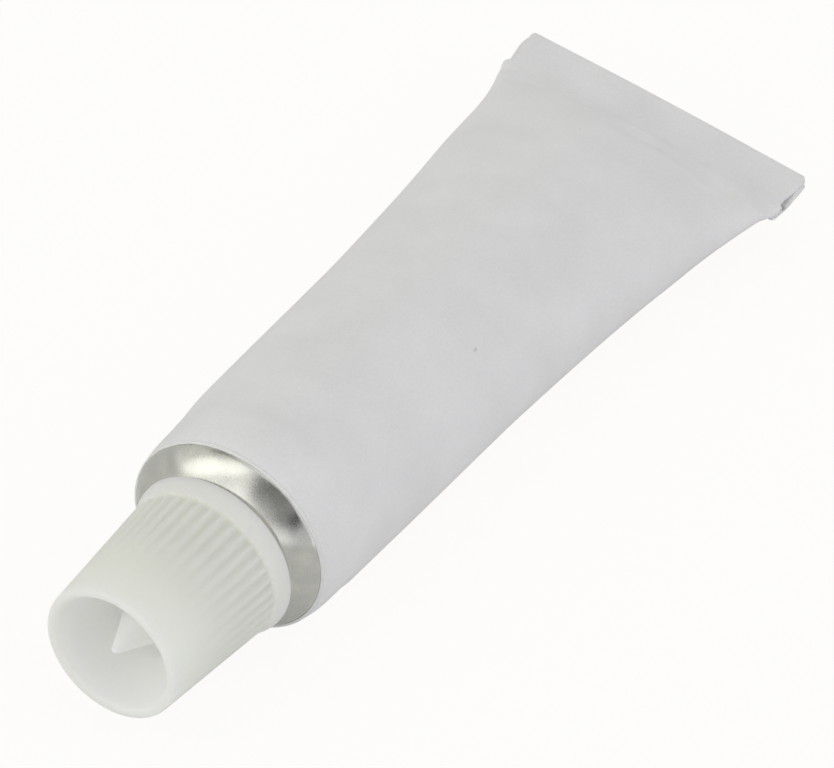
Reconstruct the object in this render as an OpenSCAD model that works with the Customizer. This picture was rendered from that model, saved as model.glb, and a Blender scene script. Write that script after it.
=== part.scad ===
// A small sealed glue tube that lies on its side. It is a folded metal tube with a white
// enamelled sleeve, and a fluted screw cap with a piercing spike in its front end.
// Millimetres. The tube's axis runs along X, with the cap at -X and the folded end at +X.
// The tube rests on the floor at z = 0, on the flattened underside of its belly.

/* [Sleeve] */
// Outer diameter of the round end of the sleeve
body_d = 13.5; // [12.5:0.1:14.5]
// From the edge of the enamel at the shoulder to the folded end
sleeve_l = 53.8; // [48:0.2:62]
// Diameter at the edge of the enamel, where the bare shoulder starts
enamel_edge_d = 12.5; // [11.8:0.1:12.6]
// Length of the rounded corner behind that edge
corner_l = 3.4; // [2.6:0.1:4.4]
// How far the underside is pressed flat below the round end's own lowest line
belly_sag = 0.05; // [0:0.01:0.15]

/* [Folded end] */
// Length of the folded strip
fold_l = 4.2; // [3.4:0.1:5]
// Thickness of the folded strip over all its layers
fold_t = 0.98; // [0.8:0.02:1.2]
// Thickness of the strip's upper pair of sheets
upper_t = 0.34; // [0.28:0.02:0.4]
// How far the flap is tucked in from the strip's lip
tuck_l = 1.2; // [0.8:0.1:1.6]
// Height of the hollow that is left at the flap's cut edge
fold_gap = 0.24; // [0.1:0.02:0.3]
// Length over which that hollow tapers away
fold_gap_l = 1.7; // [1:0.1:2]
// How far the strip's middle lies below the tube's axis
fold_drop = 3.1; // [2.4:0.1:3.6]
// Radius of the strip's two outer corners
fold_corner_r = 0.55; // [0.3:0.05:0.9]

/* [Creases] */
// Depth of the two bowed hollows in front of the strip
hollow_depth = 0.5; // [0:0.05:0.8]
// Depth of the soft thumb dents along the sleeve
dent_depth = 0.12; // [0:0.02:0.24]

/* [Shoulder and neck] */
// Height of the domed shoulder, from the enamel's edge to the root of the neck
shoulder_h = 2.3; // [2:0.1:2.6]
// Slope of the dome at the enamel's edge, degrees from a flat across the axis
outer_slope = 55; // [48:1:60]
// Slope of the dome at the root of the neck, degrees
root_slope = 25; // [15:1:30]
// Diameter of the neck under its thread
neck_d = 6.4; // [6:0.1:6.6]
// From the enamel's edge to the top of the neck
neck_reach = 6.5; // [6:0.1:6.6]
// Diameter of the sealed skin at the top of the neck
skin_d = 4.4; // [3.6:0.1:4.8]
// How far that skin lies below the neck's rim
skin_sink = 0.4; // [0.2:0.05:0.6]

/* [Cap] */
// Length of the cap
cap_l = 10.2; // [9.8:0.1:11]
// Cap diameter at its open end
cap_base_d = 10.4; // [10.2:0.1:11]
// Cap diameter at its front rim
cap_front_d = 8.4; // [8.2:0.1:9]
// How far the collar stands out from the fluted skirt
collar_step = 0.2; // [0.1:0.02:0.3]
// From the enamel's edge to the cap's open end
cap_gap = 1.6; // [1.5:0.05:1.8]
// Width of the flat ring at the cap's open end
mouth_wall = 0.28; // [0.2:0.02:0.4]
// Width of the plain collar at the open end
collar_l = 1.2; // [0.8:0.1:1.6]
// Number of flutes round the cap
flutes = 40; // [32:1:44]
// Depth of a flute at its deep end
flute_depth = 0.22; // [0.1:0.02:0.28]
// Length of the flutes
flute_l = 6; // [4:0.2:7]
// Diameter of the recess at the front rim
recess_d = 7.2; // [6.6:0.1:7.2]
// Depth of the recess
recess_depth = 4.2; // [3.4:0.1:4.4]
// Diameter of the recess at its floor
recess_floor_d = 5.2; // [4.6:0.1:5.6]
// How far the spike's tip lies inside the rim
spike_inset = 0.4; // [0.2:0.1:1]
// Diameter of the spike at its foot
spike_foot_d = 3.6; // [3:0.1:3.8]
// Width of the spike's blunt tip
spike_tip_d = 0.44; // [0.3:0.02:0.6]

/* [Clearances] */
// Space round the neck for the thread of both pieces
thread_space = 0.3; // [0.25:0.01:0.35]
// Space between the neck's rim and the cap's inner end
top_gap = 0.26; // [0.15:0.01:0.3]
// Space between the shoulder and the cap's bevelled mouth, along the axis
mouth_gap = 0.42; // [0.35:0.01:0.5]

/* [Hidden] */
$fn = 96;
r_body = body_d / 2;
r_edge = enamel_edge_d / 2;
// The flattened sleeve keeps its girth, so the strip is half the girth wide.
strip_hw = PI * r_body / 2;
x_fold = sleeve_l - fold_l;
axis_z = r_body + belly_sag;
x_front = -cap_gap - cap_l;
shift_x = -(x_front + sleeve_l) / 2;
strip_top = -fold_drop + fold_t / 2;
r_root = neck_d / 2 + 0.1;
r_bore = neck_d / 2 + thread_space;
x_bore_end = -neck_reach - top_gap;
enamel_white = [0.90, 0.90, 0.91];
cap_white = [0.93, 0.93, 0.89];

// Half the sleeve's thickness along its length, as parts of the round end's radius.
thick_at = [
    [0.00, 1.000], [0.07, 0.993], [0.22, 0.955], [0.33, 0.930], [0.44, 0.903],
    [0.55, 0.848], [0.65, 0.784], [0.73, 0.713], [0.80, 0.633], [0.86, 0.555],
    [0.90, 0.488], [0.93, 0.415], [0.955, 0.325], [0.975, 0.215], [0.99, 0.11], [1.00, 0.05]
];
// Half the thickness at a part t of the way to the strip.
function half_t(t) = r_body * lookup(t, thick_at);
// The matching half width of an oval with the same girth (Ramanujan, solved for the width).
function girth(a, b) = PI * (3 * (a + b) - sqrt((3 * a + b) * (a + 3 * b)));
function half_w(b, lo = 0.9, hi = 1.6, n = 0) =
    n > 22 ? r_body * (lo + hi) / 2 :
    girth(r_body * (lo + hi) / 2, b) > 2 * PI * r_body ? half_w(b, lo, (lo + hi) / 2, n + 1) :
    half_w(b, (lo + hi) / 2, hi, n + 1);
// The sleeve's middle sinks evenly from the axis to the upper sheets of the strip.
function mid_z(t) = t * (strip_top - upper_t / 2);
// A smooth bump that is 1 at c and fades over a width w.
function bump(v, c, w) = exp(-pow((v - c) / w, 2));
// Soft dents: place along and across, spread along and across.
dents = [[41.2, 4.6, 2.6, 2.0], [17.5, 4.4, 3.2, 1.8], [29, -2.4, 4.5, 2.6]];
function dent(x, y, d) = bump(x, d[0], d[2]) * bump(y, d[1], d[3]);
// Hollows and dents in the upper side, from place along (x) and across (y).
function crease(x, y) =
    let (u = x - x_fold)
    hollow_depth * 0.75 * bump(u, -1.5 - 0.035 * pow(y - 5.2, 2), 1.1) * bump(y, 5.2, 3.6)
    + hollow_depth * bump(u, -2.0 - 0.03 * pow(y + 3.6, 2), 1.5) * bump(y, -3.8, 4.2)
    + dent_depth * (dent(x, y, dents[0]) + dent(x, y, dents[1]) + dent(x, y, dents[2]));

around = 44;
// One oval section of the sleeve at x, as a ring of points.
function section(x) =
    let (t = max(0, min(1, x / x_fold)))
    let (b = half_t(t))
    let (a = half_w(b))
    let (m = mid_z(t))
    [for (i = [0 : around - 1])
        let (q = 360 * i / around)
        let (y = a * cos(q))
        let (z0 = m + b * sin(q))
        let (z1 = z0 - max(0, sin(q)) * crease(x, y))
        [x, y, max(z1, -axis_z)]];

// A round section of radius r at x.
function ring(x, r) = [for (i = [0 : around - 1])
    let (q = 360 * i / around)
    [x, r * cos(q), r * sin(q)]];

// Where the oval sections stand, as parts of the way to the strip.
stations = [0.12, 0.17, 0.23, 0.29, 0.35, 0.41, 0.47, 0.53, 0.585, 0.635, 0.685, 0.735, 0.785,
            0.827, 0.86, 0.888, 0.911, 0.931, 0.948, 0.962, 0.974, 0.984, 0.992, 0.998];

// The soft sleeve from its round end to the strip.
module sleeve() {
    first = [ring(corner_l - 0.8, r_body - 0.5), ring(corner_l + 0.5, r_body - 0.05)];
    last = [for (p = section(x_fold)) [x_fold + 0.4, p[1] * 0.985, mid_z(1) + (p[2] - mid_z(1)) * 0.3]];
    rings = concat(first, [for (s = stations) section(s * x_fold)], [last]);
    n = len(rings);
    pts = [for (ring = rings) for (p = ring) p];
    side = [for (j = [0 : n - 2]) for (i = [0 : around - 1])
        let (a = j * around + i)
        let (b = j * around + (i + 1) % around)
        for (f = [[a, b + around, b], [a, a + around, b + around]]) f];
    near_end = [[for (i = [0 : around - 1]) i]];
    far_end = [[for (i = [around - 1 : -1 : 0]) (n - 1) * around + i]];
    polyhedron(points = pts, faces = concat(side, near_end, far_end));
}

// The strip's section across its length: sheets folded over twice and turned under.
module strip_section() {
    low = -fold_drop - fold_t / 2;
    r = fold_t / 2;
    difference() {
        union() {
            translate([x_fold - 0.5, strip_top - upper_t])
                square([fold_l + 0.5 - r, upper_t]);
            translate([x_fold + r * 0.6, low])
                square([fold_l - r * 1.6, fold_t]);
            translate([x_fold + r * 0.6, low + r * 0.6])
                circle(r = r * 0.6);
            translate([sleeve_l - r, -fold_drop])
                circle(r = r);
        }
        polygon([
            [x_fold + tuck_l, strip_top - upper_t],
            [x_fold + tuck_l + fold_gap_l, strip_top - upper_t],
            [x_fold + tuck_l, strip_top - upper_t - fold_gap]
        ]);
    }
}

// The folded strip with its two outer corners rounded in plan.
module strip() {
    intersection() {
        translate([0, strip_hw, 0])
            rotate([90, 0, 0])
                linear_extrude(height = 2 * strip_hw)
                    strip_section();
        translate([0, 0, -fold_drop - 1])
            linear_extrude(height = 2)
                union() {
                    translate([x_fold - 1, -strip_hw])
                        square([fold_l + 1 - fold_corner_r, 2 * strip_hw]);
                    translate([sleeve_l - fold_corner_r - 0.1, -strip_hw + fold_corner_r])
                        square([fold_corner_r + 0.1, 2 * (strip_hw - fold_corner_r)]);
                    for (s = [-1, 1])
                        translate([sleeve_l - fold_corner_r, s * (strip_hw - fold_corner_r)])
                            circle(r = fold_corner_r);
                }
    }
}

// Points on a bow from a to c that leaves and arrives towards b.
function bow(a, b, c, n) = [for (i = [0 : n])
    let (t = i / n)
    a * pow(1 - t, 2) + b * 2 * t * (1 - t) + c * t * t];

// The turned outline of the shoulder end, from the neck's rim to the round sleeve.
module shoulder_outline() {
    n = 6;
    edge = [r_edge, 0];
    // The dome bows from the neck's root to the enamel's edge, and the corner goes on from there.
    k0 = tan(outer_slope);
    k1 = tan(root_slope);
    r_bow = (r_edge * k0 - shoulder_h - r_root * k1) / (k0 - k1);
    dome = bow([r_root, -shoulder_h], [r_bow, -(r_edge - r_bow) * k0], edge, n);
    corner = bow(edge, [r_body, (r_body - r_edge) * k0 * 0.8], [r_body, corner_l], n);
    polygon(concat(
        [[0, corner_l + 0.4]],
        [[0, -neck_reach + skin_sink]],
        [[skin_d / 2, -neck_reach + skin_sink]],
        [[skin_d / 2 + 0.1, -neck_reach]],
        [[neck_d / 2 - 0.15, -neck_reach]],
        [[neck_d / 2, -neck_reach + 0.15]],
        [[neck_d / 2, -shoulder_h - 0.1]],
        dome,
        [for (i = [1 : n]) corner[i]],
        [[r_body, corner_l + 0.4]]));
}

module shoulder() {
    rotate([0, 90, 0])
        rotate_extrude()
            shoulder_outline();
}

// Sleeve, shoulder, neck and folded end are one drawn piece, sealed over its glue.
module tube() {
    color(enamel_white)
        translate([shift_x, 0, axis_z])
            union() {
                shoulder();
                sleeve();
                strip();
            }
}

// The cap's turned outline: r outwards, and the tube's own x upwards.
module cap_outline() {
    x_base = -cap_gap;
    x_floor = x_front + recess_depth;
    r_base = cap_base_d / 2;
    r_front = cap_front_d / 2;
    // The mouth's bevel follows the shoulder's dome and stands clear of it.
    r_mouth = r_base - mouth_wall;
    x_bevel = -shoulder_h - mouth_gap;
    polygon([
        [r_mouth, x_base],
        [r_base - 0.06, x_base],
        [r_base, x_base - 0.06],
        [r_base, x_base - collar_l + collar_step],
        [r_base - collar_step, x_base - collar_l],
        [r_front + 0.02, x_front + 0.2],
        [r_front - 0.05, x_front + 0.05],
        [r_front - 0.2, x_front],
        [recess_d / 2 + 0.16, x_front],
        [recess_d / 2 + 0.04, x_front + 0.05],
        [recess_d / 2 - 0.03, x_front + 0.2],
        [recess_floor_d / 2 + 0.1, x_floor - 0.4],
        [recess_floor_d / 2 - 0.1, x_floor - 0.1],
        [recess_floor_d / 2 - 0.35, x_floor],
        [spike_foot_d / 2, x_floor],
        [spike_tip_d / 2, x_front + spike_inset + 0.1],
        [spike_tip_d / 4, x_front + spike_inset],
        [0, x_front + spike_inset],
        [0, x_bore_end],
        [r_bore, x_bore_end],
        [r_bore, x_bevel]
    ]);
}

// One moulding: fluted skirt, front recess and the spike that pierces the neck's skin.
module cap() {
    r_cut = 0.34;
    skirt_l = cap_l - collar_l;
    r_top = cap_base_d / 2 - collar_step;
    k = (r_top - cap_front_d / 2) / skirt_l;
    // A flute leans less than the skirt tapers, so it fades out towards the front.
    r_deep = r_top - flute_depth + r_cut;
    r_fade = r_top - k * flute_l + r_cut;
    lean = atan((r_deep - r_fade) / flute_l);
    color(cap_white)
        translate([shift_x, 0, axis_z])
            difference() {
                rotate([0, 90, 0])
                    rotate_extrude()
                        cap_outline();
                for (i = [0 : flutes - 1])
                    rotate([(i + 0.37) * 360 / flutes, 0, 0])
                        translate([-cap_gap - collar_l, 0, r_deep])
                            rotate([0, -90 - lean, 0])
                                cylinder(r = r_cut, h = flute_l * 0.9, $fn = 24);
            }
}

tube();
cap();
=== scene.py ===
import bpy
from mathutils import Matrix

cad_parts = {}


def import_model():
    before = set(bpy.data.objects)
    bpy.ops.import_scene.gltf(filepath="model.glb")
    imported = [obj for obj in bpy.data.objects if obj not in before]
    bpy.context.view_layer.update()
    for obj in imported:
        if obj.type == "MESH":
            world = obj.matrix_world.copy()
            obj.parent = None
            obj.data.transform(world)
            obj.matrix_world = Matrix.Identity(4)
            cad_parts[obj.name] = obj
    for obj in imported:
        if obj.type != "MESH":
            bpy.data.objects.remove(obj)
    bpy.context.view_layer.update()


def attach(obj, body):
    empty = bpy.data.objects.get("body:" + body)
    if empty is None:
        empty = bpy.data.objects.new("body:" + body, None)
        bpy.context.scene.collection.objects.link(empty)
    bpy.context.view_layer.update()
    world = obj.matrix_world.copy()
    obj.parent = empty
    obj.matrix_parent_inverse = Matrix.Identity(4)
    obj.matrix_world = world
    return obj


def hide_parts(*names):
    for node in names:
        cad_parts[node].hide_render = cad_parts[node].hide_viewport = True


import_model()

import math

import bmesh
import bpy
from mathutils import Matrix, Vector

MM = 0.001

# Sizes in millimetres. They are those of the part's source, apart from a few tenths on the cap
# and the fold.
BODY_R = 6.75
SLEEVE_L = 53.8
EDGE_R = 6.25
CORNER_L = 3.4
FOLD_L = 4.2
FOLD_T = 0.98
UPPER_T = 0.34
FOLD_DROP = 3.1
FOLD_CORNER_R = 0.55
DEEPEST_CUT = 0.34
FLAP_REACH = 0.67
WEDGE_X = 49.7
WEDGE_INSET = 0.28
TUCK_L = 0.95
WAIST = 0.013
SIDE_SAG = 0.6
CAP_L = 10.2
CAP_GAP = 1.6
CAP_BASE_R = 5.27
CAP_FRONT_R = 4.27
COLLAR_L = 1.2
COLLAR_STEP = 0.31
MOUTH_WALL = 0.28
FLUTES = 40
FLUTE_DEPTH = 0.14
FLUTE_L = 6.6
RECESS_R = 3.67
RECESS_DEPTH = 4.2
RECESS_FLOOR_R = 2.6
SPIKE_INSET = 0.4
SPIKE_FOOT_R = 1.8
SPIKE_TIP_R = 0.22
NECK_R = 3.2
NECK_REACH = 6.5
SHOULDER_H = 2.3
OUTER_SLOPE = 55
ROOT_SLOPE = 25
SKIN_R = 2.2
SKIN_SINK = 0.4
BORE_R = 3.5
BORE_END = -6.76
AXIS_Z = 6.8
STRIP_HW = math.pi * BODY_R / 2
X_FOLD = SLEEVE_L - FOLD_L
X_FRONT = -CAP_GAP - CAP_L
SHIFT_X = -(X_FRONT + SLEEVE_L) / 2
STRIP_TOP = -FOLD_DROP + FOLD_T / 2
STRIP_FOOT = STRIP_TOP - FOLD_T
PLATE_FOOT = STRIP_TOP - UPPER_T

# Half the sleeve's thickness along it, as (part of the way to the fold, part of its radius)
THICK_AT = [(0.00, 1.000), (0.07, 0.993), (0.22, 0.955), (0.33, 0.930), (0.44, 0.903),
            (0.55, 0.848), (0.65, 0.784), (0.73, 0.713), (0.80, 0.633), (0.86, 0.555),
            (0.90, 0.488), (0.93, 0.415), (0.955, 0.325), (0.975, 0.215), (0.99, 0.11),
            (1.00, 0.05)]


def look_up(t, table):
    """The value at t on a smooth line through the table's rows."""
    last = len(table) - 1
    i = min(next((k for k in range(last) if t <= table[k + 1][0]), last - 1), last - 1)

    def slope(k):
        before, after = table[max(k - 1, 0)], table[min(k + 1, last)]
        return (after[1] - before[1]) / (after[0] - before[0])

    (t0, v0), (t1, v1) = table[i], table[i + 1]
    w = t1 - t0
    s = (t - t0) / w
    return ((2 * s ** 3 - 3 * s ** 2 + 1) * v0 + (s ** 3 - 2 * s ** 2 + s) * w * slope(i)
            + (3 * s ** 2 - 2 * s ** 3) * v1 + (s ** 3 - s ** 2) * w * slope(i + 1))


def girth(a, b):
    """Length round an oval of half axes a and b."""
    return math.pi * (3 * (a + b) - math.sqrt((3 * a + b) * (a + 3 * b)))


def half_width(b):
    """Half width of the oval of half thickness b that keeps the sleeve's girth."""
    lo, hi = 0.8 * BODY_R, 1.65 * BODY_R
    for _ in range(40):
        mid = (lo + hi) / 2
        if girth(mid, b) > 2 * math.pi * BODY_R:
            hi = mid
        else:
            lo = mid
    return mid


def bow(a, b, c, t):
    """Point t of the way along the bow from a to c that leaves and arrives towards b."""
    return tuple(p * (1 - t) ** 2 + q * 2 * t * (1 - t) + r * t * t for p, q, r in zip(a, b, c))


def smooth_step(v):
    """From 0 at 0 to 1 at 1, level at both ends and beyond them."""
    v = min(1.0, max(0.0, v))
    return v * v * (3 - 2 * v)


def share_at(x, span):
    """How far x is through a span, given as (start, length), smoothly from 0 to 1."""
    return smooth_step((x - span[0]) / span[1])


def world(x, y=0.0, z=0.0):
    """A point of the tube (millimetres from the enamel's edge, on its axis) in the frame."""
    return Vector(((x + SHIFT_X) * MM, y * MM, (z + AXIS_Z) * MM))


def tube_place(v):
    """A vertex's place on the tube, in its own millimetres."""
    return v.co.x / MM - SHIFT_X, v.co.y / MM, v.co.z / MM - AXIS_Z


# Working in edit mode


def deselect():
    """Leave edit mode, with nothing selected."""
    if bpy.context.object and bpy.context.object.mode != "OBJECT":
        bpy.ops.object.mode_set(mode="OBJECT")
    bpy.ops.object.select_all(action="DESELECT")


def begin_ring(name, count, r, x, filled):
    """A new object that starts as a circle across the tube's axis, left in edit mode."""
    deselect()
    bpy.ops.mesh.primitive_circle_add(
        vertices=count, radius=r * MM, fill_type="NGON" if filled else "NOTHING",
        location=world(x), rotation=(0, math.pi / 2, 0))
    piece = bpy.context.object
    piece.name = name
    piece.data.name = name
    bpy.ops.object.transform_apply(location=True, rotation=True, scale=True)
    bpy.ops.object.mode_set(mode="EDIT")
    bpy.ops.mesh.select_mode(type="VERT")
    bpy.ops.mesh.select_all(action="SELECT")
    return piece


def grow(step, scale_y, scale_z, centre):
    """Extrude the selected ring by step, then scale it about centre."""
    bpy.ops.mesh.extrude_region_move(TRANSFORM_OT_translate={"value": step})
    bpy.ops.transform.resize(value=(1, scale_y, scale_z), center_override=centre)


def turned(name, count, profile):
    """A closed turned piece from (x, r) points along the tube's axis, left in edit mode."""
    x, r = profile[0]
    piece = begin_ring(name, count, r, x, True)
    for x1, r1 in profile[1:]:
        s = r1 / r
        grow(((x1 - x) * MM, 0, 0), s, s, world(x1))
        x, r = x1, r1
    bpy.ops.mesh.edge_face_add()
    return piece


def pick(piece, test):
    """Select the vertices that pass the test, which gets their place on the tube."""
    bm = bmesh.from_edit_mesh(piece.data)
    for v in bm.verts:
        v.select = bool(test(*tube_place(v)))
    bm.select_flush_mode()
    bmesh.update_edit_mesh(piece.data)


def nudge(move, reach):
    """Move the selection, and draw the surface round it along as far as reach."""
    bpy.ops.transform.translate(value=tuple(c * MM for c in move), use_proportional_edit=True,
                                proportional_edit_falloff="SMOOTH", proportional_size=reach * MM,
                                use_proportional_connected=True)


def finish_piece(piece, angle=35.0):
    """Close the edit, point the faces outwards and smooth all but the sharp edges."""
    bpy.ops.mesh.select_all(action="SELECT")
    bpy.ops.mesh.normals_make_consistent(inside=False)
    bpy.ops.object.mode_set(mode="OBJECT")
    deselect()
    piece.select_set(True)
    bpy.context.view_layer.objects.active = piece
    bpy.ops.object.shade_smooth_by_angle(angle=math.radians(angle))


def apply_modifier(piece, kind, **settings):
    """Give the piece a modifier with these settings, and apply it."""
    deselect()
    piece.select_set(True)
    bpy.context.view_layer.objects.active = piece
    mod = piece.modifiers.new(kind.title(), kind)
    for key, value in settings.items():
        setattr(mod, key, value)
    bpy.ops.object.modifier_apply(modifier=mod.name)


# The sleeve

# The enamel is a thin coat that ends in a fine bead: height, place and spread along the coat
COAT = 0.035
BEAD = (0.075, 0.32, 0.085)
# Where the shoulder's dome, the round corner and the sleeve's side meet, as (radius, x)
SIDE_SLOPE = math.tan(math.radians(OUTER_SLOPE))
CORNER = [(EDGE_R, 0.0), (BODY_R, (BODY_R - EDGE_R) * SIDE_SLOPE * 0.8), (BODY_R, CORNER_L)]
# About the corner's length, along its bow
CORNER_RUN = 3.6


def enamel_edge():
    """The enamel's edge: a thin coat that ends on the metal, with a fine bead just inside."""
    rings = [(1.3, 5.8), (0.2, 6.22), (0.02, 6.235)]
    for s in (0.0, 0.03, 0.09, 0.15, 0.2, 0.24, 0.28, 0.32, 0.36, 0.4, 0.44, 0.5, 0.58, 0.7,
              0.9, 1.2, 1.6, 2.0, 2.5, 3.0, 3.5):
        t = s / CORNER_RUN
        r, x = bow(*CORNER, t)
        r2, x2 = bow(*CORNER, t + 0.01)
        run = math.hypot(r2 - r, x2 - x)
        coat = COAT * smooth_step((s + 0.03) / 0.06) * (1 - smooth_step((s - 0.5) / 2.5))
        h = coat + BEAD[0] * math.exp(-((s - BEAD[1]) / BEAD[2]) ** 2)
        rings.append((x - h * (r2 - r) / run, r + h * (x2 - x) / run))
    return rings


def half_thickness(x):
    """Half the oval's thickness at x, which runs on straight from the table's last two rows."""
    t = x / X_FOLD
    (t0, thick0), (t1, thick1) = THICK_AT[-2:]
    if t < t0:
        return BODY_R * look_up(t, THICK_AT)
    return BODY_R * (thick0 + (thick1 - thick0) * (t - t0) / (t1 - t0))


# How softly the sleeve's top and foot run out into the plate's
TOP_BLEND = 0.45
FOOT_BLEND = 0.15
# Spans along the sleeve, as (start, length): its foot levels out, its sides draw in and come out
# again, the wedge at its corner, its sides sag, and its oval section becomes a flat plate's
FOOT_SPAN = (40, 7)
WAIST_IN = (38, 6)
WAIST_OUT = (48.6, 1.1)
WEDGE_SPAN = (WEDGE_X, 0.25)
SAG_SPAN = (47.4, 2.0)
PLATE_SPAN = (X_FOLD - 0.9, 1.6)
# Where its rings stand: the first, and the step from ring to ring up to each place
RING_START = 4.0
RING_STEPS = [(24, 0.9), (38, 0.6), (44, 0.4), (SLEEVE_L, 0.27)]
# How the plate's side edges are rounded, as (reach in from the edge, part of the height kept)
PLATE_EDGE = ((0.16, 0.93), (0.11, 0.86), (0.07, 0.8), (0.035, 0.7), (0.012, 0.5))


def sleeve_section(x):
    """Top, foot and half width of the sleeve and of the flat plate that it runs out into."""
    mid = min(x / X_FOLD, 1.0) * (STRIP_TOP - UPPER_T / 2)
    # The underside is flat from a little before the fold, so that the flap lies against it.
    top = mid + half_thickness(x)
    foot = mid - half_thickness(x + FLAP_REACH * share_at(x, FOOT_SPAN))
    top = (top + STRIP_TOP + math.sqrt((top - STRIP_TOP) ** 2 + TOP_BLEND ** 2)) / 2
    foot = (foot + PLATE_FOOT - math.sqrt((foot - PLATE_FOOT) ** 2 + FOOT_BLEND ** 2)) / 2
    waist = 1 - WAIST * (share_at(x, WAIST_IN) - share_at(x, WAIST_OUT))
    notch = WEDGE_INSET * share_at(x, WEDGE_SPAN)
    return top, foot, min(STRIP_HW, half_width((top - foot) / 2)) * waist - notch


def sleeve_stations():
    """Where the sleeve's rings stand, closer together towards the fold."""
    out = []
    x = RING_START
    while x < X_FOLD + 1.5:
        out.append(x)
        x += next(step for end, step in RING_STEPS if x < end)
    return out


def corner_cut(x):
    """How much narrower the fold is at x, since its end corners are round."""
    reach = max(0.0, x - (SLEEVE_L - FOLD_CORNER_R))
    cut = FOLD_CORNER_R - math.sqrt(max(0.0, FOLD_CORNER_R ** 2 - reach ** 2))
    return min(DEEPEST_CUT, cut)


# The fold's upper sheets, as (place behind the fold's line, half thickness, narrowing)
UPPER_ROWS = [(1.6, 0.17, 0.24), (2.1, 0.17, 0.14), (2.6, 0.17, 0.08), (3.0, 0.19, 0.06),
              (3.35, 0.225, 0.05)]
# The flap's way back along the foot, as (place behind the fold's line, top, narrowing). It lies
# against the plate, then dips into a wedge that opens at the side.
FLAP_ROWS = [(3.3, -2.98, -0.12), (2.7, -2.93, -0.12), (2.4, -2.93, -0.11), (2.0, -3.1, -0.09),
             (1.6, -3.3, -0.07), (1.15, -3.35, -0.04), (0.7, -3.31, 0.0), (0.1, -3.3, 0.08),
             (0.45 - FLAP_REACH, -3.3, 0.12)]
ROLL_STEPS = 18
LIP_STEPS = 8
LIP_B = 0.145
LIP_R = 0.16


def fold_rings():
    """The fold from the plate on: x, middle z, half thickness, turn in degrees, narrowing."""
    roll_r = FOLD_T / 2
    end_x = SLEEVE_L - roll_r
    rings = []
    for back, b, narrow in UPPER_ROWS:
        rings.append((X_FOLD + back, STRIP_TOP - b, b, 0.0, narrow))
    b = roll_r / 2
    for i in range(ROLL_STEPS + 1):
        q = math.pi * i / ROLL_STEPS
        narrow = 0.02 - 0.12 * i / ROLL_STEPS + corner_cut(end_x + roll_r * math.sin(q))
        rings.append((end_x + b * math.sin(q), -FOLD_DROP + b * math.cos(q), b, math.degrees(q),
                      narrow))
    for back, top, narrow in FLAP_ROWS:
        rings.append((X_FOLD + back, (top + STRIP_FOOT) / 2, (top - STRIP_FOOT) / 2, 180.0,
                      narrow))
    # Round the lip, and in between the layers as far as the flap is tucked
    lip_x = X_FOLD + FLAP_ROWS[-1][0]
    lip_z = STRIP_FOOT + LIP_B + LIP_R
    for i in range(1, LIP_STEPS + 1):
        q = math.pi * i / LIP_STEPS
        rings.append((lip_x - LIP_R * math.sin(q), lip_z - LIP_R * math.cos(q), LIP_B,
                      180.0 + math.degrees(q), 0.1 + 0.1 * math.sin(q)))
    for on, b in [(0.2, LIP_B), (TUCK_L - 0.08, LIP_B), (TUCK_L, 0.1)]:
        rings.append((lip_x + on, lip_z + LIP_R, b, 360.0, 0.14))
    return rings


# Creases where the top wall meets the fold, as (place behind the fold's line, bend, middle, start
# and end across, depth, reach), and soft dents, as (place along and across, depth, reach)
CREASES = [(-1.5, 0.035, 5.2, 2.0, 8.6, 0.24, 1.25), (-2.0, 0.03, -3.6, -7.6, -0.4, 0.38, 1.6),
           (-2.2, 0.035, 5.2, 1.0, 8.0, 0.26, 2.8), (-2.9, 0.03, -3.6, -7.2, -0.8, 0.36, 3.0)]
DENTS = [(41.2, 4.6, 0.3, 3.2), (17.5, 4.4, 0.1, 3.4), (29.0, -2.4, 0.14, 4.5),
         (10.4, 0.9, 0.09, 2.4), (33.6, 2.3, 0.12, 2.6), (35.5, -6.2, 0.10, 3.2)]

# How the fold was pressed askew: its turn in degrees, its shift along and across, how far its
# ends are drawn in and its middle bows out, and how far the sleeve follows each move
FOLD_SKEW = 1.47
FOLD_SHIFT = (0.125, -0.26)
FOLD_DRAW = 0.10
FOLD_BOW = 0.135
SKEW_REACH = 8.5
SHIFT_REACH = 14.0
BOW_REACH = 10.0

# The dent in the sleeve's front corner: place along, turn in degrees, depth and reach
CORNER_DENT = (2.6, 19.5, 0.24, 4.2)
# The drops on the bead, as turns in degrees, and their height
DROPS = (55, 119)
DROP_H = 0.08


def crease_sleeve(piece):
    """Press the creases and dents into the top wall."""
    for back, bend, y_mid, y0, y1, depth, reach in CREASES:

        def on_line(x, y, z):
            line = X_FOLD + back - bend * (y - y_mid) ** 2
            return abs(x - line) < 0.16 and y0 < y < y1 and z > -2.4

        pick(piece, on_line)
        nudge((0, 0, -depth), reach)
    for x0, y0, depth, reach in DENTS:
        pick(piece, lambda x, y, z: math.hypot(x - x0, y - y0) < 0.5 and z > -2.0)
        nudge((0, 0, -depth), reach)


def skew_fold(piece):
    """The fold was pressed a little askew: it is turned, shifted and drawn in by a trace."""
    middle = world(X_FOLD + 1.5, 0, -FOLD_DROP)
    soft = {"use_proportional_edit": True, "proportional_edit_falloff": "SMOOTH",
            "proportional_size": SKEW_REACH * MM, "use_proportional_connected": True}
    pick(piece, lambda x, y, z: x > X_FOLD)
    bpy.ops.transform.rotate(value=math.radians(-FOLD_SKEW), orient_axis="Z",
                             center_override=middle, **soft)
    bpy.ops.transform.resize(value=(1, 1 - FOLD_DRAW / STRIP_HW, 1), center_override=middle,
                             **soft)
    nudge((FOLD_SHIFT[0], FOLD_SHIFT[1], 0), SHIFT_REACH)
    pick(piece, lambda x, y, z: x > X_FOLD and abs(y) < 1.5)
    nudge((FOLD_BOW, 0, 0), BOW_REACH)


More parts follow.
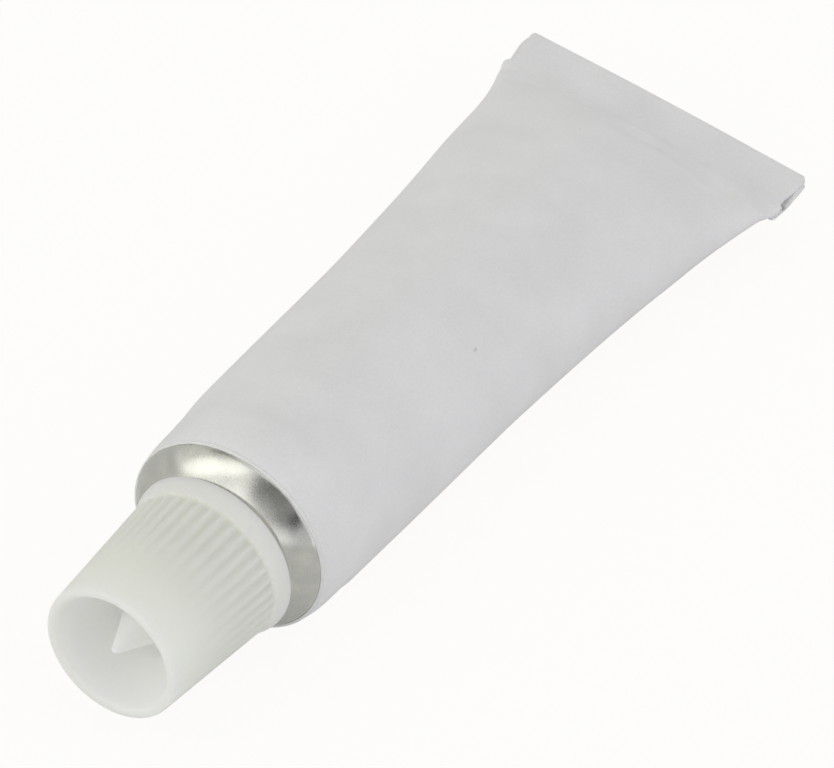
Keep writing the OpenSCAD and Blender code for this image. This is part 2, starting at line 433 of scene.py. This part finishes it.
def press_corner(piece):
    """The sleeve's front corner is pressed in a little on its far side."""
    along, turn, depth, reach = CORNER_DENT
    q = math.radians(turn)
    pick(piece, lambda x, y, z: abs(x - along) < 0.5 and abs(math.atan2(z, y) - q) < 0.12)
    nudge((0, -depth * math.cos(q), -depth * math.sin(q)), reach)


def raise_drops(piece):
    """Two small drops of enamel that stand on the bead."""
    for turn in DROPS:
        q = math.radians(turn)
        pick(piece, lambda x, y, z: x < 0.6 and abs(math.atan2(z, y) - q) < 0.024
             and math.hypot(y, z) > 6.42)
        nudge((-DROP_H * 0.6, DROP_H * 0.8 * math.cos(q), DROP_H * 0.8 * math.sin(q)), 0.3)


def make_sleeve():
    """The sleeve, from its enamelled edge on the shoulder to the flap under the fold."""
    edge = enamel_edge()
    x, r = edge[0]
    piece = begin_ring("sleeve", 192, r, x, True)
    a = b = r
    z = 0.0
    for x1, r1 in edge[1:]:
        grow(((x1 - x) * MM, 0, 0), r1 / a, r1 / b, world(x1))
        x, a, b = x1, r1, r1
    for x1 in sleeve_stations():
        top, foot, a1 = sleeve_section(x1)
        b1, z1 = (top - foot) / 2, (top + foot) / 2
        grow(((x1 - x) * MM, 0, (z1 - z) * MM), a1 / a, b1 / b, world(x1, 0, z1))
        x, z, a, b = x1, z1, a1, b1
    press_rings(piece)
    # Its last ring, a flat rectangle now, goes on round the fold.
    last = x
    pick(piece, lambda px, py, pz: px > last - 0.01)
    turn = 0.0
    for x1, z1, b1, turn1, narrow in fold_rings():
        centre = world(x1, 0, z1)
        a1 = STRIP_HW - narrow
        bpy.ops.mesh.extrude_region_move(
            TRANSFORM_OT_translate={"value": ((x1 - x) * MM, 0, (z1 - z) * MM)})
        bpy.ops.transform.rotate(value=math.radians(turn), orient_axis="Y",
                                 center_override=centre)
        bpy.ops.transform.resize(value=(1, a1 / a, b1 / b), center_override=centre)
        bpy.ops.transform.rotate(value=math.radians(-turn1), orient_axis="Y",
                                 center_override=centre)
        x, z, a, b, turn = x1, z1, a1, b1, turn1
    bpy.ops.mesh.edge_face_add()
    crease_sleeve(piece)
    skew_fold(piece)
    press_corner(piece)
    raise_drops(piece)
    press_belly(piece)
    finish_piece(piece, 50)
    return piece


def press_rings(piece):
    """Press the oval rings near the fold: their sides down, then all into a flat plate."""
    for x1 in sleeve_stations():
        sag = SIDE_SAG * share_at(x1, SAG_SPAN)
        if sag <= 0:
            continue
        share = share_at(x1, PLATE_SPAN)
        top, foot, half = sleeve_section(x1)
        mid = (top + foot) / 2
        pick(piece, lambda x, y, z: abs(x - x1) < 0.01 and z < mid - 0.001)
        bpy.ops.transform.resize(value=(1, 1, 1 - sag), center_override=world(x1, 0, foot))
        pick(piece, lambda x, y, z: abs(x - x1) < 0.01 and z > mid - 0.001)
        bpy.ops.transform.resize(value=(1, 1, 1 + sag), center_override=world(x1, 0, top))
        mid = foot + (top - foot) / 2 * (1 - sag)
        if share <= 0:
            continue
        for side, edge_z in ((1, top), (-1, foot)):
            pick(piece, lambda x, y, z: abs(x - x1) < 0.01 and (z - mid) * side > 0.002)
            bpy.ops.transform.resize(value=(1, 1, 1 - share),
                                     center_override=world(x1, 0, edge_z))
        for back, squeeze in PLATE_EDGE:
            pick(piece, lambda x, y, z: abs(x - x1) < 0.01 and abs(y) > half - back)
            bpy.ops.transform.resize(value=(1, 1, 1 - (1 - squeeze) * share),
                                     center_override=world(x1, 0, mid))


def press_belly(piece):
    """The underside lies pressed flat on the floor."""
    pick(piece, lambda x, y, z: z < -AXIS_Z)
    bpy.ops.transform.resize(value=(1, 1, 0), center_override=world(20, 0, -AXIS_Z))


def make_shoulder():
    """Bare metal: domed shoulder, neck and the thin skin that closes it."""
    k1 = math.tan(math.radians(ROOT_SLOPE))
    root = NECK_R + 0.1
    r_bow = (EDGE_R * SIDE_SLOPE - SHOULDER_H - root * k1) / (SIDE_SLOPE - k1)
    dome = [(EDGE_R, 0.0), (r_bow, -(EDGE_R - r_bow) * SIDE_SLOPE), (root, -SHOULDER_H)]
    profile = [(0.9, 5.5), (0.5, 6.2), (0.12, 6.27)]
    for i in range(17):
        r, x = bow(*dome, i / 16)
        profile.append((x, r))
    profile += [(-SHOULDER_H - 0.1, NECK_R), (-NECK_REACH + 0.15, NECK_R),
                (-NECK_REACH, NECK_R - 0.15), (-NECK_REACH, SKIN_R + 0.1),
                (-NECK_REACH + 0.05, SKIN_R + 0.02), (-NECK_REACH + SKIN_SINK, SKIN_R),
                (-NECK_REACH + SKIN_SINK, 0.4)]
    piece = turned("shoulder", 160, profile)
    finish_piece(piece, 30)
    return piece


# The cap

# How it sits askew: its turns in degrees about Y and Z, and its shift
CAP_TILT = (1.15, -1.24)
CAP_SHIFT = (-0.02, -0.14, -0.12)
# Radius of the tool that the flutes look cut with, and how far round the first one stands, in
# parts of their pitch
FLUTE_TOOL_R = 0.34
FLUTE_START = 0.37


def skirt_radius(x):
    """The skirt's radius at x, on the ridges between the flutes."""
    foot_r = CAP_BASE_R - COLLAR_STEP
    x_foot = -CAP_GAP - COLLAR_L
    return foot_r - (foot_r - CAP_FRONT_R) * (x_foot - x) / (CAP_L - COLLAR_L)


def cap_profile():
    """The cap's turned outline, from its bore round the collar and the rim to the spike."""
    x0 = -CAP_GAP
    x_foot = x0 - COLLAR_L
    floor = X_FRONT + RECESS_DEPTH
    profile = [(BORE_END, 0.5), (BORE_END, BORE_R - 0.1), (BORE_END + 0.1, BORE_R),
               (-SHOULDER_H - 0.42, BORE_R), (x0 - 0.02, CAP_BASE_R - MOUTH_WALL),
               (x0, CAP_BASE_R - MOUTH_WALL + 0.03), (x0, CAP_BASE_R - 0.1),
               (x0 - 0.03, CAP_BASE_R - 0.04), (x0 - 0.1, CAP_BASE_R)]
    for i in range(1, 9):
        x = x0 - 0.1 - (COLLAR_L - 0.1) * i / 8
        out = 0.5 + 0.5 * math.cos(math.pi * (i / 8) ** 0.9)
        profile.append((x, skirt_radius(x) + (CAP_BASE_R - skirt_radius(x)) * out))
    profile += [(x_foot - 0.08, skirt_radius(x_foot - 0.08)),
                (x_foot - 0.2, skirt_radius(x_foot - 0.2))]
    steps = 16
    for i in range(1, steps + 1):
        x = x_foot - (CAP_L - COLLAR_L - 0.25) * i / steps
        profile.append((x, skirt_radius(x)))
    # The front edge is soft, and its inner side rolls over widely into the recess.
    profile += [(X_FRONT + 0.13, CAP_FRONT_R - 0.005), (X_FRONT + 0.05, CAP_FRONT_R - 0.045),
                (X_FRONT + 0.01, CAP_FRONT_R - 0.12), (X_FRONT, CAP_FRONT_R - 0.22),
                (X_FRONT + 0.01, RECESS_R + 0.27), (X_FRONT + 0.05, RECESS_R + 0.15),
                (X_FRONT + 0.13, RECESS_R + 0.06), (X_FRONT + 0.25, RECESS_R - 0.01),
                (X_FRONT + 0.45, RECESS_R - 0.08)]
    for i in range(1, 6):
        t = i / 6
        profile.append((X_FRONT + 0.45 + (RECESS_DEPTH - 0.85) * t,
                        RECESS_R - 0.08 + (RECESS_FLOOR_R + 0.1 - RECESS_R + 0.08) * t))
    profile += [(floor - 0.4, RECESS_FLOOR_R + 0.1), (floor - 0.12, RECESS_FLOOR_R - 0.08),
                (floor, RECESS_FLOOR_R - 0.35), (floor, SPIKE_FOOT_R + 0.05),
                (floor - 0.1, SPIKE_FOOT_R - 0.08)]
    tip_x = X_FRONT + SPIKE_INSET
    for i in range(1, 5):
        t = i / 5
        profile.append((floor - 0.1 + (tip_x + 0.1 - floor + 0.1) * t,
                        SPIKE_FOOT_R - 0.08 + (SPIKE_TIP_R - SPIKE_FOOT_R + 0.08) * t))
    profile += [(tip_x + 0.1, SPIKE_TIP_R), (tip_x + 0.03, SPIKE_TIP_R * 0.75),
                (tip_x, SPIKE_TIP_R * 0.35)]
    return profile


def cut_flutes(piece):
    """Sink the flutes into the skirt: deep at the collar, fading out towards the front."""
    x_foot = -CAP_GAP - COLLAR_L
    bm = bmesh.from_edit_mesh(piece.data)
    rings = {}
    for v in bm.verts:
        x, y, z = tube_place(v)
        r = math.hypot(y, z)
        if x_foot - FLUTE_L - 0.3 < x < x_foot - 0.02 and abs(r - skirt_radius(x)) < 0.03:
            rings[round(x, 3)] = r
    for x, r in rings.items():
        depth = FLUTE_DEPTH * (1 - (x_foot - x) / FLUTE_L) * min(1, 0.5 + (x_foot - x) / 0.3)
        pitch = 2 * math.pi * r / FLUTES
        for step in range(0, 4):
            d = step * pitch / 8
            cut = depth - FLUTE_TOOL_R + math.sqrt(max(0.0, FLUTE_TOOL_R ** 2 - d ** 2))
            if cut <= 0.004:
                continue

            def in_flute(px, py, pz, x=x, r=r, step=step):
                if abs(px - x) > 0.01 or abs(math.hypot(py, pz) - r) > 0.03:
                    return False
                turn = math.degrees(math.atan2(pz, py)) * FLUTES / 360 - FLUTE_START
                return abs(abs(turn - round(turn)) * 8 - step) < 0.3

            pick(piece, in_flute)
            s = (r - cut) / r
            bpy.ops.transform.resize(value=(1, s, s), center_override=world(x))


def seat_cap():
    """The cap was screwed on a trace askew: its piece, all selected, is turned and shifted."""
    bpy.ops.mesh.select_all(action="SELECT")
    seat = world(-CAP_GAP)
    bpy.ops.transform.rotate(value=math.radians(-CAP_TILT[0]), orient_axis="Y",
                             center_override=seat)
    bpy.ops.transform.rotate(value=math.radians(-CAP_TILT[1]), orient_axis="Z",
                             center_override=seat)
    bpy.ops.transform.translate(value=tuple(c * MM for c in CAP_SHIFT))


def make_cap():
    """The cap: turned in one piece, fluted and seated on the neck."""
    piece = turned("cap_moulding", FLUTES * 8, cap_profile())
    cut_flutes(piece)
    seat_cap()
    finish_piece(piece, 28)
    return piece


THREAD_TURNS = 2.6
THREAD_PITCH = 1.0
THREAD_STEPS = int(48 * THREAD_TURNS)


def make_thread(name, r_in, r_out, x_start, width, seated):
    """A fine thread: a small section wound along the tube's axis, and seated as the cap or not."""
    deselect()
    bpy.ops.mesh.primitive_circle_add(vertices=6, radius=width / 2 * MM, fill_type="NOTHING",
                                      location=(0, 0, 0), rotation=(math.pi / 2, 0, 0))
    piece = bpy.context.object
    piece.name = name
    piece.data.name = name
    bpy.ops.object.transform_apply(location=True, rotation=True, scale=True)
    bpy.ops.object.mode_set(mode="EDIT")
    bpy.ops.mesh.select_all(action="SELECT")
    height = abs(r_out - r_in)
    bpy.ops.transform.resize(value=(1, 1, height * 2 / width), center_override=(0, 0, 0))
    bpy.ops.transform.translate(value=(0, 0, r_in * MM))
    bpy.ops.object.mode_set(mode="OBJECT")
    apply_modifier(piece, "SCREW", axis="X", angle=2 * math.pi * THREAD_TURNS,
                   screw_offset=-THREAD_PITCH * THREAD_TURNS * MM, steps=THREAD_STEPS,
                   render_steps=THREAD_STEPS, use_merge_vertices=False)
    piece.location = world(x_start)
    bpy.ops.object.transform_apply(location=True, rotation=True, scale=True)
    bpy.ops.object.mode_set(mode="EDIT")
    bpy.ops.mesh.select_all(action="SELECT")
    bpy.ops.mesh.fill_holes(sides=0)
    if seated:
        seat_cap()
    finish_piece(piece, 60)
    return piece


# Materials

# The dark colour of the dust specks, also used for the painted shade in the fold's wedge
DUST_AND_SHADE_COLOUR = (0.16, 0.15, 0.13, 1)
# How softly the painted light and shade along the cap end at their radius
PAINTED_SHADING_BLEND = 0.15


def add_node(tree, kind, place, **settings):
    """A new node at this place in the tree, with these settings."""
    node = tree.nodes.new(kind)
    node.location = place
    for key, value in settings.items():
        setattr(node, key, value)
    return node


def combine(tree, first, second, operation, place):
    """A maths node's output, from two outputs or numbers."""
    node = add_node(tree, "ShaderNodeMath", place, operation=operation)
    for socket, value in zip(node.inputs, (first, second)):
        if isinstance(value, float):
            socket.default_value = value
        else:
            tree.links.new(value, socket)
    return node.outputs[0]


def new_group(name, inputs, outputs):
    """An empty shader group with named float, vector or colour sockets."""
    group = bpy.data.node_groups.new(name, "ShaderNodeTree")
    kinds = {"value": "NodeSocketFloat", "vector": "NodeSocketVector", "colour": "NodeSocketColor"}
    for label, kind, default in inputs:
        socket = group.interface.new_socket(label, in_out="INPUT", socket_type=kinds[kind])
        socket.default_value = default
    for label, kind in outputs:
        group.interface.new_socket(label, in_out="OUTPUT", socket_type=kinds[kind])
    start = add_node(group, "NodeGroupInput", (-900, 0))
    end = add_node(group, "NodeGroupOutput", (600, 0))
    return group, start, end


def grain_group():
    """Fine grain and slow mottling, both from 0 to 1, by the piece's own coordinates."""
    group, start, end = new_group(
        "grain_and_mottle", [("Grain Size", "value", 0.15), ("Mottle Size", "value", 3.0)],
        [("Grain", "value"), ("Mottle", "value")])
    coords = add_node(group, "ShaderNodeTexCoord", (-900, -300))
    for label, out, detail, y in (("Grain Size", "Grain", 3.0, 150),
                                  ("Mottle Size", "Mottle", 2.0, -150)):
        scale = combine(group, 1 / MM, start.outputs[label], "DIVIDE", (-600, y))
        noise = add_node(group, "ShaderNodeTexNoise", (-350, y))
        noise.inputs["Detail"].default_value = detail
        group.links.new(scale, noise.inputs["Scale"])
        group.links.new(coords.outputs["Object"], noise.inputs["Vector"])
        spread = add_node(group, "ShaderNodeMapRange", (-100, y))
        spread.inputs["From Min"].default_value = 0.25
        spread.inputs["From Max"].default_value = 0.75
        group.links.new(noise.outputs["Fac"], spread.inputs["Value"])
        group.links.new(spread.outputs["Result"], end.inputs[out])
    return group


def speck_group():
    """A small dark speck at one place, used for dust and for painted shade: 1 in the speck, 0 away
    from it.
    """
    group, start, end = new_group(
        "dust_and_painted_shade_speck", [("Place", "vector", (0, 0, 0)), ("Stretch", "vector", (1, 1, 1)),
                       ("Size", "value", 0.1)], [("Mask", "value")])
    coords = add_node(group, "ShaderNodeTexCoord", (-900, -300))
    away = add_node(group, "ShaderNodeVectorMath", (-650, 0), operation="SUBTRACT")
    drawn = add_node(group, "ShaderNodeVectorMath", (-450, 0), operation="MULTIPLY")
    reach = add_node(group, "ShaderNodeVectorMath", (-250, 0), operation="LENGTH")
    size = combine(group, start.outputs["Size"], MM, "MULTIPLY", (-450, -250))
    spread = add_node(group, "ShaderNodeMapRange", (0, 0), interpolation_type="SMOOTHSTEP")
    spread.inputs["From Min"].default_value = 0.0
    spread.inputs["To Min"].default_value = 1.0
    spread.inputs["To Max"].default_value = 0.0
    group.links.new(coords.outputs["Object"], away.inputs[0])
    group.links.new(start.outputs["Place"], away.inputs[1])
    group.links.new(away.outputs[0], drawn.inputs[0])
    group.links.new(start.outputs["Stretch"], drawn.inputs[1])
    group.links.new(drawn.outputs[0], reach.inputs[0])
    group.links.new(reach.outputs["Value"], spread.inputs["Value"])
    group.links.new(size, spread.inputs["From Max"])
    group.links.new(spread.outputs["Result"], end.inputs["Mask"])
    return group


def paint_shading_by_place(tree, last, radius, stops):
    """Paints light and shade into the colour along the tube by the listed places, except inside
    the radius.
    """
    first, final = world(stops[0][0]), world(stops[-1][0])
    coords = add_node(tree, "ShaderNodeTexCoord", (-1300, 600))
    split = add_node(tree, "ShaderNodeSeparateXYZ", (-1100, 700))
    along = add_node(tree, "ShaderNodeMapRange", (-900, 700))
    along.inputs["From Min"].default_value = first.x
    along.inputs["From Max"].default_value = final.x
    ramp = add_node(tree, "ShaderNodeValToRGB", (-700, 700))
    steps = ramp.color_ramp.elements
    steps[0].color, steps[1].color = stops[0][1], stops[-1][1]
    for x, shade in stops[1:-1]:
        step = steps.new((world(x).x - first.x) / (final.x - first.x))
        step.color = shade
    offset = add_node(tree, "ShaderNodeVectorMath", (-1100, 450), operation="SUBTRACT")
    offset.inputs[1].default_value = world(0)
    across = add_node(tree, "ShaderNodeVectorMath", (-900, 450), operation="MULTIPLY")
    across.inputs[1].default_value = (0, 1, 1)
    reach = add_node(tree, "ShaderNodeVectorMath", (-700, 450), operation="LENGTH")
    outside = add_node(tree, "ShaderNodeMapRange", (-500, 450))
    outside.inputs["From Min"].default_value = (radius - PAINTED_SHADING_BLEND) * MM
    outside.inputs["From Max"].default_value = (radius + PAINTED_SHADING_BLEND) * MM
    tone = add_node(tree, "ShaderNodeMix", (0, 300), data_type="RGBA", blend_type="MULTIPLY")
    tree.links.new(coords.outputs["Object"], split.inputs[0])
    tree.links.new(split.outputs["X"], along.inputs["Value"])
    tree.links.new(along.outputs["Result"], ramp.inputs["Fac"])
    tree.links.new(coords.outputs["Object"], offset.inputs[0])
    tree.links.new(offset.outputs[0], across.inputs[0])
    tree.links.new(across.outputs[0], reach.inputs[0])
    tree.links.new(reach.outputs["Value"], outside.inputs["Value"])
    tree.links.new(outside.outputs["Result"], tone.inputs["Factor"])
    tree.links.new(last, tone.inputs["A"])
    tree.links.new(ramp.outputs["Color"], tone.inputs["B"])
    return tone.outputs["Result"]


def add_speck(tree, last, i, place, stretch, size, strength):
    """Darkens the colour in a speck of dust or of painted shade, the i-th of the finish."""
    speck = add_node(tree, "ShaderNodeGroup", (-200, -150 - 250 * i), node_tree=SPECK)
    speck.inputs["Place"].default_value = place
    speck.inputs["Stretch"].default_value = stretch
    speck.inputs["Size"].default_value = size
    weight = combine(tree, speck.outputs["Mask"], strength, "MULTIPLY", (0, -150 - 250 * i))
    darken = add_node(tree, "ShaderNodeMix", (200, 150), data_type="RGBA")
    darken.inputs["B"].default_value = DUST_AND_SHADE_COLOUR
    tree.links.new(weight, darken.inputs["Factor"])
    tree.links.new(last, darken.inputs["A"])
    return darken.outputs["Result"]


def surface(name, light, dark, grain, mottle, roughness, bump, specks=(), painted_shading=None,
            **constants):
    """A finish with grain: two near colours by its mottle and grain, roughness, and fine bump."""
    mat = bpy.data.materials.new(name)
    mat.use_nodes = True
    tree = mat.node_tree
    tree.nodes.clear()
    shader = add_node(tree, "ShaderNodeBsdfPrincipled", (500, 0))
    out = add_node(tree, "ShaderNodeOutputMaterial", (800, 0))
    tree.links.new(shader.outputs["BSDF"], out.inputs["Surface"])
    texture = add_node(tree, "ShaderNodeGroup", (-700, 0), node_tree=GRAIN)
    texture.inputs["Grain Size"].default_value = grain
    texture.inputs["Mottle Size"].default_value = mottle
    both = combine(tree, texture.outputs["Grain"], texture.outputs["Mottle"], "ADD", (-600, 150))
    blend = combine(tree, both, 0.5, "MULTIPLY", (-450, 150))
    colour = add_node(tree, "ShaderNodeMix", (-200, 150), data_type="RGBA")
    colour.inputs["A"].default_value = dark
    colour.inputs["B"].default_value = light
    tree.links.new(blend, colour.inputs["Factor"])
    last = colour.outputs["Result"]
    # Painted light and shade along the tube, where given
    if painted_shading:
        last = paint_shading_by_place(tree, last, *painted_shading)
    for i, speck in enumerate(specks):
        last = add_speck(tree, last, i, *speck)
    tree.links.new(last, shader.inputs["Base Color"])
    rough = add_node(tree, "ShaderNodeMapRange", (-200, -500))
    rough.inputs["To Min"].default_value = roughness[0]
    rough.inputs["To Max"].default_value = roughness[1]
    tree.links.new(texture.outputs["Grain"], rough.inputs["Value"])
    tree.links.new(rough.outputs["Result"], shader.inputs["Roughness"])
    relief = add_node(tree, "ShaderNodeBump", (200, -500))
    relief.inputs["Strength"].default_value = bump[0]
    relief.inputs["Distance"].default_value = bump[1] * MM
    tree.links.new(texture.outputs["Grain"], relief.inputs["Height"])
    tree.links.new(relief.outputs["Normal"], shader.inputs["Normal"])
    for label, value in constants.items():
        shader.inputs[label.replace("_", " ")].default_value = value
    return mat


def dress(piece, mat):
    """Give the piece this one material."""
    piece.data.materials.clear()
    piece.data.materials.append(mat)


# Camera, floor and light

# The camera as fitted to the photograph: its place from the enamel's edge, line of sight, upward
# line, and focal length in pixels of an image this wide
EYE = (-149.0496, -64.4316, 176.3723)
AHEAD = (0.665402, 0.249331, -0.703615)
UPWARD = (0.539846, 0.490265, 0.684256)
FOCAL_PX = 4208.6
IMAGE_W = 834
SENSOR_W = 36.0

# The floor's colour for light, its colour and glow for the camera
FLOOR_COLOUR = (0.84, 0.84, 0.83, 1)
FLOOR_SEEN = (0.08, 0.08, 0.08, 1)
FLOOR_GLOW = (1.0, 0.992, 0.975, 1)
FLOOR_GLOW_LEVEL = 0.925


def set_camera():
    """The photograph's view, on an image of 834 by 768."""
    data = bpy.data.cameras.new("view")
    cam = bpy.data.objects.new("view", data)
    bpy.context.scene.collection.objects.link(cam)
    eye = world(*EYE)
    ahead = Vector(AHEAD).normalized()
    right = ahead.cross(Vector(UPWARD)).normalized()
    up = right.cross(ahead).normalized()
    cam.matrix_world = Matrix((
        (right.x, up.x, -ahead.x, eye.x),
        (right.y, up.y, -ahead.y, eye.y),
        (right.z, up.z, -ahead.z, eye.z),
        (0, 0, 0, 1)))
    data.sensor_fit = "HORIZONTAL"
    data.sensor_width = SENSOR_W
    data.lens = SENSOR_W * FOCAL_PX / IMAGE_W
    data.clip_start = 0.01
    bpy.context.scene.camera = cam


def set_floor():
    """A pale floor that the camera sees almost white, with hardly a shadow."""
    deselect()
    bpy.ops.mesh.primitive_plane_add(size=6.0, location=(0, 0, -0.0001))
    floor = bpy.context.object
    floor.name = "floor"
    mat = bpy.data.materials.new("pale_floor")
    mat.use_nodes = True
    tree = mat.node_tree
    tree.nodes.clear()
    shader = add_node(tree, "ShaderNodeBsdfPrincipled", (300, 0))
    out = add_node(tree, "ShaderNodeOutputMaterial", (600, 0))
    tree.links.new(shader.outputs["BSDF"], out.inputs["Surface"])
    path = add_node(tree, "ShaderNodeLightPath", (-300, 0))
    tone = add_node(tree, "ShaderNodeMix", (0, 100), data_type="RGBA")
    tone.inputs["A"].default_value = FLOOR_COLOUR
    tone.inputs["B"].default_value = FLOOR_SEEN
    glow = combine(tree, path.outputs["Is Camera Ray"], FLOOR_GLOW_LEVEL, "MULTIPLY", (0, -150))
    tree.links.new(path.outputs["Is Camera Ray"], tone.inputs["Factor"])
    tree.links.new(tone.outputs["Result"], shader.inputs["Base Color"])
    tree.links.new(glow, shader.inputs["Emission Strength"])
    shader.inputs["Emission Color"].default_value = FLOOR_GLOW
    shader.inputs["Roughness"].default_value = 1.0
    shader.inputs["Specular IOR Level"].default_value = 0.0
    dress(floor, mat)


def direction(azimuth, elevation):
    """The unit vector at these degrees round from +X and up from the floor."""
    a, e = math.radians(azimuth), math.radians(elevation)
    return (math.cos(e) * math.cos(a), math.cos(e) * math.sin(a), math.sin(e))


# The room's light: its level, and soft patches as (direction, outer and inner angle, change).
# It is dimmer behind, to the left and overhead, and brighter in front of the cap.
ROOM_LEVEL = 1.05
ROOM_PATCHES = [((-147, 39), 33, 20, -0.74), ((-120, 14), 21, 8, -0.38),
                ((80, 30), 50, 20, -0.36), ((121, 46), 20, 10, -0.34), ((0, 90), 60, 10, -0.10),
                ((0, 25), 60, 15, -0.44), ((180, 4), 42, 10, 0.38)]
# The window is long and narrow, and leans: its ends, half its length and width, where its soft
# edge starts and ends (as squares of parts of those halves), and its level
WINDOW_ENDS = ((121.6, 5.8), (162, 52))
WINDOW_HALF = (31, 9)
WINDOW_EDGE = (1.15, 0.8)
WINDOW_LEVEL = 0.68
# The light's colour from the right (-Y) and from the left (+Y)
TINT_RIGHT = (0.99, 0.985, 1.035, 1)
TINT_LEFT = (1.0, 1.0, 0.955, 1)


def set_light():
    """A white room with soft dim patches and one soft bright window."""
    scene = bpy.context.scene
    scene.view_settings.view_transform = "Standard"
    room = bpy.data.worlds.new("studio")
    scene.world = room
    room.use_nodes = True
    tree = room.node_tree
    tree.nodes.clear()
    coords = add_node(tree, "ShaderNodeTexCoord", (-1300, 0))
    here = coords.outputs["Generated"]

    def along(towards, place):
        dot = add_node(tree, "ShaderNodeVectorMath", place, operation="DOT_PRODUCT")
        dot.inputs[1].default_value = towards
        tree.links.new(here, dot.inputs[0])
        return dot.outputs["Value"]

    def patch(value, start, full, strength, place):
        lobe = add_node(tree, "ShaderNodeMapRange", place, interpolation_type="SMOOTHSTEP")
        lobe.inputs["From Min"].default_value = start
        lobe.inputs["From Max"].default_value = full
        lobe.inputs["To Max"].default_value = strength
        tree.links.new(value, lobe.inputs["Value"])
        return lobe.outputs["Result"]

    last = ROOM_LEVEL
    for i, (towards, outer, inner, strength) in enumerate(ROOM_PATCHES):
        value = along(direction(*towards), (-1000, -200 * i))
        lobe = patch(value, math.cos(math.radians(outer)), math.cos(math.radians(inner)),
                     strength, (-750, -200 * i))
        last = combine(tree, last, lobe, "ADD", (-500, -200 * i))
    low, high = Vector(direction(*WINDOW_ENDS[0])), Vector(direction(*WINDOW_ENDS[1]))
    middle = (low + high).normalized()
    length = (high - low - (high - low).dot(middle) * middle).normalized()
    width = middle.cross(length)
    spread = []
    for i, (axis, half) in enumerate(((length, WINDOW_HALF[0]), (width, WINDOW_HALF[1]))):
        value = along(axis / math.sin(math.radians(half)), (-1000, 400 + 200 * i))
        spread.append(combine(tree, value, 2.0, "POWER", (-750, 400 + 200 * i)))
    off = combine(tree, spread[0], spread[1], "ADD", (-500, 500))
    glow = patch(off, *WINDOW_EDGE, WINDOW_LEVEL, (-300, 500))
    facing = patch(along(middle, (-750, 800)), 0.0, 0.05, 1.0, (-500, 800))
    glow = combine(tree, glow, facing, "MULTIPLY", (-100, 500))
    last = combine(tree, last, glow, "ADD", (-200, 200))
    split = add_node(tree, "ShaderNodeSeparateXYZ", (-650, 1000))
    tree.links.new(here, split.inputs[0])
    side = add_node(tree, "ShaderNodeMapRange", (-450, 500))
    side.inputs["From Min"].default_value = -0.8
    side.inputs["From Max"].default_value = 0.8
    tree.links.new(split.outputs["Y"], side.inputs["Value"])
    tint = add_node(tree, "ShaderNodeMix", (-200, 500), data_type="RGBA")
    tint.inputs["A"].default_value = TINT_RIGHT
    tint.inputs["B"].default_value = TINT_LEFT
    tree.links.new(side.outputs["Result"], tint.inputs["Factor"])
    back = add_node(tree, "ShaderNodeBackground", (0, 0))
    out = add_node(tree, "ShaderNodeOutputWorld", (200, 0))
    tree.links.new(tint.outputs["Result"], back.inputs["Color"])
    tree.links.new(last, back.inputs["Strength"])
    tree.links.new(back.outputs["Background"], out.inputs["Surface"])


set_camera()
set_floor()
set_light()

GRAIN = grain_group()
SPECK = speck_group()

# Specks as (place, stretch, size, strength). The last is painted shade deep in the fold's wedge,
# not dust.
sleeve_dust_and_shade_specks = [
    (world(40.11, 3.18, 1.66), (1, 0.5, 1), 0.17, 0.22),
    (world(43.10, 1.58, 1.18), (1, 1, 1), 0.12, 0.22),
    (world(18.88, -4.45, 3.84), (0.5, 1, 1), 0.16, 0.3),
    (world(50.53, -5.24, -2.6), (1, 1, 1), 0.13, 0.25),
    # Painted shade: a dark patch deep in the fold's wedge, which is really only in shadow
    (world(50.95, -10.6, -3.25), (0.7, 1, 1), 0.3, 0.8),
]
cap_specks = [(world(-6.54, -1.68, 4.43), (1, 1, 1), 0.1, 0.7)]

enamel = surface("white_enamel", (0.89, 0.89, 0.885, 1), (0.78, 0.78, 0.775, 1), 0.16, 4.0,
                 (0.40, 0.52), (0.12, 0.03), sleeve_dust_and_shade_specks, Specular_IOR_Level=0.4)
metal = surface("bare_aluminium", (0.76, 0.75, 0.685, 1), (0.50, 0.51, 0.48, 1), 0.08, 1.2,
                (0.12, 0.24), (0.2, 0.005), Metallic=1.0)
# The cap's painted light and shade as (place along the tube, colour that its own is multiplied
# by): darker over the flutes and lighter on the collar, while the recess keeps its own colour
cap_painted_shading = [(-11.8, (0.89, 0.905, 0.88, 1)), (-10.0, (0.88, 0.895, 0.87, 1)),
             (-7.8, (0.85, 0.86, 0.83, 1)), (-5.5, (0.81, 0.82, 0.785, 1)),
             (-3.1, (0.81, 0.82, 0.785, 1)), (-2.8, (0.99, 1.0, 0.91, 1)),
             (-1.2, (0.99, 1.0, 0.91, 1))]
plastic = surface("cap_plastic", (0.98, 0.985, 0.94, 1), (0.94, 0.945, 0.90, 1), 0.25, 2.5,
                  (0.38, 0.5), (0.12, 0.03), cap_specks, (RECESS_R, cap_painted_shading),
                  Subsurface_Weight=1.0, Subsurface_Radius=(1.0, 1.0, 0.95),
                  Subsurface_Scale=0.0012)

sleeve = make_sleeve()
dress(sleeve, enamel)
shoulder = make_shoulder()
dress(shoulder, metal)
neck_thread = make_thread("neck_thread", NECK_R, NECK_R + 0.18, -SHOULDER_H - 0.7, 0.55, False)
dress(neck_thread, metal)
cap = make_cap()
dress(cap, plastic)
cap_thread = make_thread("cap_thread", BORE_R, BORE_R - 0.08, -SHOULDER_H - 0.9, 0.5, True)
dress(cap_thread, plastic)

for piece in (sleeve, shoulder, neck_thread):
    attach(piece, "tube_body")
    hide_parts("tube")
for piece in (cap, cap_thread):
    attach(piece, "cap_body")
    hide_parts("cap")

deselect()
